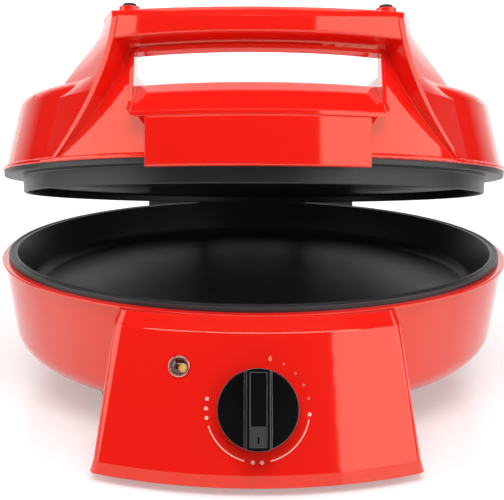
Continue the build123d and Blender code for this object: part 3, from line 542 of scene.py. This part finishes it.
def edge_highlight_group():
    """Painted highlight: a lighter colour along the edges, standing in for the light a polished
    rounded moulding catches.
    """
    if "PaintedEdgeHighlight" in bpy.data.node_groups:
        return bpy.data.node_groups["PaintedEdgeHighlight"]
    group, start, end = group_of(
        "PaintedEdgeHighlight",
        [
            ("Colour", "c", (0.5, 0.5, 0.5, 1.0)),
            ("Edge Highlight Colour", "c", (0.8, 0.8, 0.8, 1.0)),
            ("Edge Radius", "f", 0.0005),
            ("Edge Highlight Amount", "f", 0.5),
        ],
        [("Colour", "c")],
    )
    links = group.links
    rounding = node(group, "ShaderNodeBevel", (-700, 0), samples=4)
    links.new(start.outputs["Edge Radius"], rounding.inputs["Radius"])
    shape = node(group, "ShaderNodeNewGeometry", (-700, -200))
    turned = node(group, "ShaderNodeVectorMath", (-500, 0), operation="DOT_PRODUCT")
    links.new(rounding.outputs[0], turned.inputs[0])
    links.new(shape.outputs["Normal"], turned.inputs[1])
    away = math_node(group, "SUBTRACT", 1.0, turned.outputs["Value"], (-350, 0))
    strong = math_node(group, "MULTIPLY", away, EDGE_GAIN, (-200, 0))
    held = math_node(group, "MINIMUM", strong, 1.0, (-50, 0))
    amount = math_node(group, "MULTIPLY", held, start.outputs["Edge Highlight Amount"], (100, 0))
    mixed = node(group, "ShaderNodeMix", (250, 0), data_type="RGBA")
    links.new(amount, mixed.inputs["Factor"])
    links.new(start.outputs["Colour"], mixed.inputs["A"])
    links.new(start.outputs["Edge Highlight Colour"], mixed.inputs["B"])
    links.new(mixed.outputs["Result"], end.inputs["Colour"])
    return group


def highlight_spot_group():
    """Painted highlight: a second colour inside a round spot, standing in for the bright highlight
    in a lamp's lens.
    """
    if "PaintedLensHighlight" in bpy.data.node_groups:
        return bpy.data.node_groups["PaintedLensHighlight"]
    group, start, end = group_of(
        "PaintedLensHighlight",
        [
            ("Colour", "c", (0.5, 0.5, 0.5, 1.0)),
            ("Highlight Colour", "c", (0.8, 0.8, 0.8, 1.0)),
            ("Highlight X", "f", 0.0),
            ("Highlight Y", "f", 0.0),
            ("Highlight Z", "f", 0.0),
            ("Highlight Radius", "f", 0.003),
        ],
        [("Colour", "c")],
    )
    links = group.links
    place = node(group, "ShaderNodeTexCoord", (-900, 0))
    centre = node(group, "ShaderNodeCombineXYZ", (-900, -250))
    for index, name in enumerate(("Highlight X", "Highlight Y", "Highlight Z")):
        links.new(start.outputs[name], centre.inputs[index])
    reach = node(group, "ShaderNodeVectorMath", (-700, 0), operation="DISTANCE")
    links.new(place.outputs["Object"], reach.inputs[0])
    links.new(centre.outputs[0], reach.inputs[1])
    distance, radius = reach.outputs["Value"], start.outputs["Highlight Radius"]
    share = math_node(group, "DIVIDE", distance, radius, (-500, 0))
    square = math_node(group, "POWER", share, 3.0, (-350, 0))
    fade = math_node(group, "SUBTRACT", 1.0, square, (-200, 0))
    held = math_node(group, "MAXIMUM", fade, 0.0, (-50, 0))
    mixed = node(group, "ShaderNodeMix", (150, 0), data_type="RGBA")
    links.new(held, mixed.inputs["Factor"])
    links.new(start.outputs["Colour"], mixed.inputs["A"])
    links.new(start.outputs["Highlight Colour"], mixed.inputs["B"])
    links.new(mixed.outputs["Result"], end.inputs["Colour"])
    return group


def tinted(tree, colour, group, values, place):
    """A colour passed through one of the groups that lay a second colour over it."""
    effect = node(tree, "ShaderNodeGroup", place)
    effect.node_tree = group
    tree.links.new(colour, effect.inputs["Colour"])
    for key, value in values.items():
        effect.inputs[key].default_value = value
    return effect.outputs["Colour"]


def material(name, group, values, bump=0.0, edge=0.0, painted_edge_highlight=None, painted_highlight=None, **principled):
    """A Principled material whose colour, roughness and bump come from groups."""
    made = bpy.data.materials.new(name)
    made.use_nodes = True
    tree = made.node_tree
    shader = tree.nodes["Principled BSDF"]
    for key, value in principled.items():
        shader.inputs[key.replace("_", " ")].default_value = value
    effect = node(tree, "ShaderNodeGroup", (-500, 0))
    effect.node_tree = group
    for key, value in values.items():
        effect.inputs[key].default_value = value
    colour = effect.outputs["Colour"]
    # Painted edge highlight laid over the colour.
    if painted_edge_highlight:
        colour = tinted(tree, colour, edge_highlight_group(), {"Edge Radius": edge, **painted_edge_highlight}, (-300, 150))
    # Painted highlight spot laid over the colour.
    if painted_highlight:
        colour = tinted(tree, colour, highlight_spot_group(), painted_highlight, (-150, 300))
    tree.links.new(colour, shader.inputs["Base Color"])
    tree.links.new(effect.outputs["Roughness"], shader.inputs["Roughness"])
    relief = node(tree, "ShaderNodeBump", (-250, -250), in_Strength=1.0, in_Distance=bump)
    tree.links.new(effect.outputs["Height"], relief.inputs["Height"])
    if edge:
        rounding = node(tree, "ShaderNodeBevel", (-500, -350), samples=4, in_Radius=edge)
        tree.links.new(rounding.outputs[0], relief.inputs["Normal"])
    tree.links.new(relief.outputs[0], shader.inputs["Normal"])
    return made


def paint(made, *names):
    """Gives CAD nodes a material in all their slots."""
    for name in names:
        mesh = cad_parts[name].data
        mesh.materials.clear()
        mesh.materials.append(made)


def rgba(colour):
    """A colour with full alpha."""
    return (colour[0], colour[1], colour[2], 1.0)


def mesh_piece(name, points, faces, made, body, slot):
    """A mesh piece that rides on a body."""
    mesh = bpy.data.meshes.new(name)
    mesh.from_pydata(points, [], faces)
    mesh.validate()
    mesh.materials.append(made)
    piece = bpy.data.objects.new(name, mesh)
    bpy.context.scene.collection.objects.link(piece)
    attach(piece, body)
    return piece


def on_lid(point):
    """A point of the closed lid, in millimetres, where the frame's open lid has it."""
    return (HINGE + Matrix.Rotation(-LID_OPEN, 3, "X") @ (Vector(point) - HINGE)) * MM


def ramp_height(x, y):
    """The height of the closed lid's ramp at a place, in millimetres."""
    return RAMP_HEIGHT + (RAMP_RADIUS - math.hypot(x, y)) * RAMP_SLOPE


def corner_section(y):
    """The outline of a ramp corner at one distance from the hinge, as points across and up."""
    edge = RAMP_HALF_WIDTH + CORNER_GAP
    start = -y * math.tan(RAMP_TROUGH_ANGLE) - CORNER_OVERLAP
    start = min(start, edge - CORNER_LEAST_WIDTH)
    across = (start, (start + edge) / 2, edge)
    top = [(x, ramp_height(x, y) - CORNER_GAP) for x in across]
    under = [(x, z - CORNER_FLOOR) for x, z in reversed(top)]
    outside = edge + CORNER_WALL
    return [*top, (edge, CORNER_TOP), (outside, CORNER_TOP), (outside, under[0][1]), *under]


def ramp_corner(name, side, made):
    """Floor and side wall that close one rear corner of the ramp, just under the lid's faces."""
    points = []
    for row in range(CORNER_ROWS + 1):
        y = CORNER_FRONT + CORNER_LENGTH * row / CORNER_ROWS
        section = corner_section(y)
        points += [on_lid((side * x, y, z)) for x, z in section]
    count = len(section)
    last = CORNER_ROWS * count
    faces = [tuple(range(count)), tuple(reversed(range(last, last + count)))]
    for row in range(CORNER_ROWS):
        for index in range(count):
            a, b = row * count + index, row * count + (index + 1) % count
            faces.append((b, a, a + count, b + count))
    if side > 0:
        faces = [tuple(reversed(face)) for face in faces]
    return mesh_piece(name, points, faces, made, "lid", "red_shell")


class PIZZA_OT_shell(bpy.types.Operator):
    """Paints the red mouldings, with a painted highlight along their edges, and closes the two
    rear corners of the lid's ramp
    """

    bl_idname = "pizza.shell"
    bl_label = "Red Shell"

    def execute(self, context):
        look = context.scene.pizza_shell
        wear = surface_group()
        red = material(
            "GlossRed",
            wear,
            {
                "Colour": rgba(look.colour),
                "Roughness": look.roughness,
                "Cloud Scale": 9.0,
                "Cloud Amount": 0.06,
                "Grain Scale": 260.0,
                "Grain Amount": 0.03,
                "Dust Amount": 0.01,
            },
            bump=look.peel,
            edge=0.0007,
            # Painted highlight: a lighter pinkish red along the edges of the shell.
            painted_edge_highlight={"Edge Highlight Colour": (0.90, 0.10, 0.07, 1), "Edge Highlight Amount": 0.45},
            Coat_Weight=0.15,
            Coat_Roughness=0.03,
            Specular_IOR_Level=0.9,
            Specular_Tint=(1.0, 0.92, 0.64, 1.0),
        )
        paint(red, "body_shell", "front_panel", "lid_cover", "handle_liner", "tongue_plate")
        ramp_corner("ramp_corner_right", 1, red)
        ramp_corner("ramp_corner_left", -1, red)
        return {"FINISHED"}


class PIZZA_OT_plates(bpy.types.Operator):
    """Paints the two coated hot plates"""

    bl_idname = "pizza.plates"
    bl_label = "Hot Plates"

    def execute(self, context):
        look = context.scene.pizza_plates
        wear = surface_group()
        coat = material(
            "NonStick",
            wear,
            {
                "Colour": rgba(look.colour),
                "Roughness": look.roughness,
                "Cloud Scale": 25.0,
                "Cloud Amount": 0.12,
                "Grain Scale": 1400.0,
                "Grain Amount": 0.22,
                "Dust Amount": 0.015,
            },
            bump=0.00004,
            edge=0.0004,
            Specular_IOR_Level=0.6,
        )
        paint(coat, "pan", "upper_plate")
        return {"FINISHED"}


def nodes_named(*parts):
    """The CAD nodes whose names hold one of the words."""
    return [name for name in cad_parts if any(part in name for part in parts)]


class PIZZA_OT_knob(bpy.types.Operator):
    """Paints the knob, with a painted highlight along its edges, and its pointer insert"""

    bl_idname = "pizza.knob"
    bl_label = "Knob"

    def execute(self, context):
        look = context.scene.pizza_knob
        wear = surface_group()
        black = material(
            "KnobBlack",
            wear,
            {"Colour": rgba(look.colour), "Roughness": look.roughness, "Grain Amount": 0.02},
            bump=0.00001,
            edge=0.0004,
            # Painted highlight along the knob's edges.
            painted_edge_highlight={"Edge Highlight Colour": rgba(look.edge_highlight_colour), "Edge Highlight Amount": 0.9},
            Coat_Weight=0.4,
            Coat_Roughness=0.04,
        )
        paint(black, "knob")
        pointer = material(
            "PointerInsert",
            wear,
            {"Colour": (0.045, 0.042, 0.040, 1), "Roughness": 0.3, "Grain Amount": 0.05},
            edge=0.0002,
        )
        paint(pointer, "knob_pointer")
        return {"FINISHED"}


class PIZZA_OT_lamp(bpy.types.Operator):
    """Paints the signal lamp's ring, lens and bulb, with a painted highlight in the lens"""

    bl_idname = "pizza.lamp"
    bl_label = "Signal Lamp"

    def execute(self, context):
        look = context.scene.pizza_lamp
        wear = surface_group()
        ring = material(
            "LampRing",
            brushed_group(),
            {"Colour": rgba(look.ring), "Roughness": 0.14, "Streak Amount": 0.04},
            edge=0.0003,
            Metallic=1.0,
        )
        paint(ring, "lamp_bezel")
        low, high = (Vector(corner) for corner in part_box("lamp_lens"))
        amber = material(
            "AmberLens",
            wear,
            {"Colour": rgba(look.lens), "Roughness": 0.08, "Grain Amount": 0.02},
            bump=0.00001,
            # Painted highlight in the lens, to the right of its middle.
            painted_highlight={
                "Highlight Colour": rgba(look.painted_highlight),
                "Highlight X": low.x * (1 - look.highlight_side) + high.x * look.highlight_side,
                "Highlight Y": low.y,
                "Highlight Z": (low.z + high.z) / 2,
                "Highlight Radius": look.highlight_radius,
            },
            Transmission_Weight=0.2,
            IOR=1.49,
            Coat_Weight=1.0,
            Coat_Roughness=0.03,
        )
        paint(amber, "lamp_lens")
        glass = material(
            "NeonBulb",
            wear,
            {"Colour": (0.85, 0.60, 0.42, 1), "Roughness": 0.1, "Grain Amount": 0.02},
            Transmission_Weight=0.7,
        )
        paint(glass, "neon_bulb")
        return {"FINISHED"}


class PIZZA_OT_black_parts(bpy.types.Operator):
    """Paints the hinge housing, feet, pads, hinge arms and bottom cover"""

    bl_idname = "pizza.black_parts"
    bl_label = "Black Parts"

    def execute(self, context):
        wear = surface_group()
        pads = nodes_named("foot_pad", "handle_pad")
        feet = [name for name in nodes_named("foot_") if name not in pads]
        matte = material(
            "TexturedBlack",
            wear,
            {"Colour": (0.016, 0.016, 0.017, 1), "Roughness": 0.52, "Grain Amount": 0.2},
            bump=0.00008,
            edge=0.0006,
        )
        paint(matte, "hinge_housing", "cord_gland", *feet)
        rubber = material(
            "SoftRubber",
            wear,
            {
                "Colour": (0.018, 0.018, 0.018, 1),
                "Roughness": 0.75,
                "Grain Amount": 0.15,
                "Dust Amount": 0.1,
            },
            bump=0.00005,
            edge=0.0004,
        )
        paint(rubber, *pads)
        enamel = material(
            "BlackEnamel",
            wear,
            {"Colour": (0.014, 0.014, 0.015, 1), "Roughness": 0.33, "Grain Amount": 0.08},
            bump=0.00003,
            edge=0.0006,
        )
        paint(enamel, "hinge_arm_1", "hinge_arm_2", "bottom_cover")
        return {"FINISHED"}


class PIZZA_OT_metal_parts(bpy.types.Operator):
    """Paints the screws, pins, studs, clips, shaft, thermostat, heaters and reflectors"""

    bl_idname = "pizza.metal_parts"
    bl_label = "Metal Parts"

    def execute(self, context):
        streaks = brushed_group()
        steel = material(
            "BrightSteel",
            streaks,
            {"Colour": (0.55, 0.55, 0.56, 1), "Roughness": 0.28},
            bump=0.00001,
            edge=0.0003,
            Metallic=1.0,
        )
        bright = nodes_named("screw", "clip", "stud", "_nut", "hinge_pin")
        paint(steel, *bright, "knob_shaft", "thermostat")
        sheath = material(
            "HeaterSheath",
            streaks,
            {"Colour": (0.16, 0.145, 0.13, 1), "Roughness": 0.5, "Streak Amount": 0.3},
            bump=0.00003,
            Metallic=1.0,
        )
        paint(sheath, "lower_heater", "upper_heater")
        sheet = material(
            "BrightSheet",
            streaks,
            {"Colour": (0.72, 0.73, 0.74, 1), "Roughness": 0.3, "Streak Scale": 25.0},
            bump=0.00002,
            Metallic=1.0,
        )
        paint(sheet, "lower_reflector", "upper_reflector")
        return {"FINISHED"}


class PIZZA_OT_terminal(bpy.types.Operator):
    """Paints the terminal block"""

    bl_idname = "pizza.terminal"
    bl_label = "Terminal Block"

    def execute(self, context):
        pale = material(
            "PaleTerminal",
            surface_group(),
            {"Colour": (0.70, 0.68, 0.60, 1), "Roughness": 0.45, "Grain Amount": 0.1},
            bump=0.00003,
            edge=0.0003,
        )
        paint(pale, "terminal_block")
        return {"FINISHED"}


# Dial marks


def face_tree():
    """A search tree of the front panel's surface."""
    graph = bpy.context.evaluated_depsgraph_get()
    return BVHTree.FromObject(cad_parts["front_panel"], graph)


def on_face(tree, right, up, lift):
    """The point of the panel's face at a place on the dial, lifted off the surface."""
    start = KNOB_CENTRE + Vector((1, 0, 0)) * right + FACE_UP * up + FACE_NORMAL * FACE_REACH
    hit = tree.ray_cast(start, -FACE_NORMAL, 2 * FACE_REACH)[0]
    if hit is None:
        raise RuntimeError("the dial's marks reach past the front panel's face")
    return hit + FACE_NORMAL * lift


def fan(tree, points, faces, centre, outline, lift):
    """Adds a filled outline to a mesh as a fan."""
    first = len(points)
    points.append(on_face(tree, centre[0], centre[1], lift))
    points.extend(on_face(tree, x, y, lift) for x, y in outline)
    count = len(outline)
    for index in range(count):
        faces.append((first, first + 1 + (index + 1) % count, first + 1 + index))


def on_ring(angle, radius):
    """A place on the dial, to the right of and above its middle."""
    turn = math.radians(angle)
    return radius * math.sin(turn), radius * math.cos(turn)


def print_dot(look, tree, marks, angle, radius):
    """Adds a round dot to a set of marks."""
    x, y = on_ring(angle, look.radius)
    steps = [math.tau * index / look.segments for index in range(look.segments)]
    outline = [(x + radius * math.sin(step), y + radius * math.cos(step)) for step in steps]
    fan(tree, *marks, (x, y), outline, look.lift)


def print_drop(look, tree, marks, angle):
    """Adds the drop that marks the knob's off position."""
    x, y = on_ring(angle, look.radius)
    outline = []
    for index in range(look.segments):
        step = math.tau * index / look.segments
        width = DROP_HALF_WIDTH * math.sin(step) * (1 - DROP_TAPER * math.cos(step))
        outline.append((x + width, y + DROP_HALF_HEIGHT * math.cos(step)))
    fan(tree, *marks, (x, y), outline, look.lift)


def print_arc(look, tree, marks, low, high):
    """Adds a thin arc to a set of marks."""
    points, faces = marks
    steps = max(int((high - low) / ARC_STEP), 2)
    first = len(points)
    for index in range(steps + 1):
        angle = low + (high - low) * index / steps
        for radius in (look.radius - look.stroke / 2, look.radius + look.stroke / 2):
            points.append(on_face(tree, *on_ring(angle, radius), look.lift))
    for index in range(steps):
        a = first + 2 * index
        faces.append((a, a + 2, a + 3, a + 1))


class PIZZA_OT_dial(bpy.types.Operator):
    """Prints the off mark, dots and arcs round the knob"""

    bl_idname = "pizza.dial"
    bl_label = "Dial Marks"

    def execute(self, context):
        look = context.scene.pizza_dial
        tree = face_tree()
        bold, faint = ([], []), ([], [])
        for angle in SMALL_DOTS:
            print_dot(look, tree, faint, angle, look.small_dot)
        for angle in DOTS:
            print_dot(look, tree, bold, angle, look.dot)
        for low, high in ARCS:
            print_arc(look, tree, bold, low, high)
        print_drop(look, tree, faint, OFF_MARK)
        for kind, marks, colour in (("Bold", bold, look.bold), ("Faint", faint, look.faint)):
            ink = material(
                "Print" + kind,
                surface_group(),
                {"Colour": rgba(colour), "Roughness": 0.4, "Grain Amount": 0.05},
            )
            mesh_piece("dial_marks_" + kind.lower(), *marks, ink, "base", "knob_mark")
        return {"FINISHED"}


# Stage


def aim(item, target, roll=0.0):
    """Turns a lamp or camera towards a point."""
    direction = Vector(target) - item.location
    turn = direction.to_track_quat("-Z", "Y").to_matrix()
    item.rotation_euler = (turn @ Matrix.Rotation(roll, 3, "Z")).to_euler()


def map_range(tree, value, low, high, to_low, to_high):
    """A value taken from one range to another, and held inside it."""
    mapped = node(tree, "ShaderNodeMapRange", (-700, -200))
    tree.links.new(value, mapped.inputs["Value"])
    mapped.inputs["From Min"].default_value = low
    mapped.inputs["From Max"].default_value = high
    mapped.inputs["To Min"].default_value = to_low
    mapped.inputs["To Max"].default_value = to_high
    return mapped.outputs["Result"]


def rays_of(tree, *kinds):
    """One for any of these kinds of ray, and otherwise none."""
    path = node(tree, "ShaderNodeLightPath", (-900, 200))
    found = path.outputs[kinds[0]]
    for kind in kinds[1:]:
        found = math_node(tree, "MAXIMUM", found, path.outputs[kind])
    return found


def softbox(name, place, target, size, bright, lights=True, mirrored=True):
    """A rectangular area lamp as bright as given, where 1 is white."""
    lamp = bpy.data.lights.new(name, "AREA")
    lamp.shape = "RECTANGLE"
    lamp.size, lamp.size_y = size
    lamp.energy = bright * math.pi * size[0] * size[1]
    box = bpy.data.objects.new(name, lamp)
    box.location = place
    box.visible_camera = False
    box.visible_diffuse = lights
    box.visible_glossy = mirrored
    bpy.context.scene.collection.objects.link(box)
    aim(box, target)


def make_sweep(look):
    """The floor that rises into the backdrop, with the glow that keeps it pale."""
    mesh = bpy.data.meshes.new("sweep")
    build = bmesh.new()
    sides = (-SWEEP_HALF_WIDTH, SWEEP_HALF_WIDTH)
    left, right = [[build.verts.new((x, y, z)) for y, z in SWEEP_OUTLINE] for x in sides]
    for index in range(len(SWEEP_OUTLINE) - 1):
        build.faces.new((left[index], right[index], right[index + 1], left[index + 1]))
    build.to_mesh(mesh)
    build.free()
    sweep = bpy.data.objects.new("sweep", mesh)
    bpy.context.scene.collection.objects.link(sweep)
    for face in mesh.polygons:
        face.use_smooth = True
    pale = bpy.data.materials.new("PaleSweep")
    pale.use_nodes = True
    tree = pale.node_tree
    shader = tree.nodes["Principled BSDF"]
    shader.inputs["Base Color"].default_value = rgba(look.floor_colour)
    shader.inputs["Roughness"].default_value = look.floor_roughness
    shader.inputs["Specular IOR Level"].default_value = 0.28
    seen = rays_of(tree, "Is Camera Ray", "Is Glossy Ray", "Is Transmission Ray")
    place = node(tree, "ShaderNodeNewGeometry", (-900, -200))
    reach = node(tree, "ShaderNodeVectorMath", (-800, -200), operation="LENGTH")
    tree.links.new(place.outputs["Position"], reach.inputs[0])
    glows = (look.floor_glow, look.backdrop_glow)
    depth = map_range(tree, reach.outputs["Value"], GLOW_NEAR, GLOW_FAR, *glows)
    glow = math_node(tree, "MULTIPLY", seen, depth)
    shader.inputs["Emission Color"].default_value = (1, 1, 1, 1)
    tree.links.new(glow, shader.inputs["Emission Strength"])
    mesh.materials.append(pale)


def make_world(look):
    """A white world for the camera, and a room that is dark in front for polished surfaces."""
    world = bpy.data.worlds.new("studio")
    bpy.context.scene.world = world
    world.use_nodes = True
    tree = world.node_tree
    sky = tree.nodes["Background"]
    sky.inputs["Color"].default_value = (1, 1, 1, 1)
    seen = rays_of(tree, "Is Camera Ray", "Is Transmission Ray")
    place = node(tree, "ShaderNodeTexCoord", (-900, -200))
    split = node(tree, "ShaderNodeSeparateXYZ", (-800, -200))
    tree.links.new(place.outputs["Generated"], split.inputs[0])
    room = map_range(tree, split.outputs["Y"], ROOM_DARK, ROOM_WHITE, look.front, 1.0)
    gloss = math_node(tree, "MULTIPLY", rays_of(tree, "Is Glossy Ray"), room)
    even = math_node(tree, "MULTIPLY", rays_of(tree, "Is Diffuse Ray"), look.sky)
    total = math_node(tree, "MAXIMUM", math_node(tree, "MAXIMUM", seen, gloss), even)
    tree.links.new(total, sky.inputs["Strength"])


def make_lamps(look):
    """Softboxes above, the two side cards, and the strip for the rounded edges."""
    softbox("main_box", (0.0, -1.02, 1.52), LAMP_TARGET, (1.5, 0.8), look.key, mirrored=False)
    softbox("edge_strip", (0.0, -1.28, 1.18), LAMP_TARGET, (2.0, 0.22), look.strip, lights=False)
    softbox("top_box", (0.0, 0.15, 1.6), (0.0, 0.15, 0.0), (1.3, 0.9), look.top)
    softbox("right_card", (0.985, -0.81, 0.53), (0.019, -0.552, 0.5), (1.67, 0.85), look.card)
    softbox("left_card", (-1.22, -0.37, 0.66), (0.0, -0.37, 0.5), (1.18, 1.1), look.card)


def make_camera(look):
    """The camera, where the photograph was taken from."""
    camera = bpy.data.cameras.new("camera")
    camera.lens = look.lens
    camera.sensor_width = 36.0
    camera.clip_start = 0.01
    eye = bpy.data.objects.new("camera", camera)
    eye.location = CAMERA_PLACE
    bpy.context.scene.collection.objects.link(eye)
    aim(eye, CAMERA_TARGET, CAMERA_ROLL)
    bpy.context.scene.camera = eye


class PIZZA_OT_stage(bpy.types.Operator):
    """Makes the floor, backdrop, lamps and camera"""

    bl_idname = "pizza.stage"
    bl_label = "Studio"

    def execute(self, context):
        look = context.scene.pizza_stage
        context.scene.view_settings.view_transform = "Standard"
        make_sweep(look)
        make_world(look)
        make_lamps(look)
        make_camera(look)
        return {"FINISHED"}


# Sidebar panel and registration


class PIZZA_PT_panel(bpy.types.Panel):
    """The pizza maker's settings and steps"""

    bl_idname = "PIZZA_PT_panel"
    bl_label = "Pizza Maker"
    bl_space_type = "VIEW_3D"
    bl_region_type = "UI"
    bl_category = "Pizza Maker"

    def draw(self, context):
        for setting in SETTINGS:
            group = getattr(context.scene, setting)
            box = self.layout.box()
            for name in group.__annotations__:
                box.prop(group, name)
        for operator in STEPS:
            self.layout.operator(operator.bl_idname)


SETTINGS = {
    "pizza_shell": ShellSettings,
    "pizza_plates": PlateSettings,
    "pizza_knob": KnobSettings,
    "pizza_lamp": LampSettings,
    "pizza_dial": DialSettings,
    "pizza_stage": StageSettings,
}
STEPS = (
    PIZZA_OT_shell,
    PIZZA_OT_plates,
    PIZZA_OT_knob,
    PIZZA_OT_lamp,
    PIZZA_OT_black_parts,
    PIZZA_OT_metal_parts,
    PIZZA_OT_terminal,
    PIZZA_OT_dial,
    PIZZA_OT_stage,
)


def register():
    """Registers the settings, the operators and the panel."""
    for cls in (*SETTINGS.values(), *STEPS, PIZZA_PT_panel):
        bpy.utils.register_class(cls)
    for name, cls in SETTINGS.items():
        setattr(bpy.types.Scene, name, PointerProperty(type=cls))


def unregister():
    """Takes them out again."""
    for name in SETTINGS:
        delattr(bpy.types.Scene, name)
    for cls in reversed((*SETTINGS.values(), *STEPS, PIZZA_PT_panel)):
        bpy.utils.unregister_class(cls)


def main():
    """Dresses the frame in order."""
    register()
    bpy.ops.pizza.shell()
    bpy.ops.pizza.plates()
    bpy.ops.pizza.knob()
    bpy.ops.pizza.lamp()
    bpy.ops.pizza.black_parts()
    bpy.ops.pizza.metal_parts()
    bpy.ops.pizza.terminal()
    bpy.ops.pizza.dial()
    bpy.ops.pizza.stage()


if __name__ == "__main__":
    main()
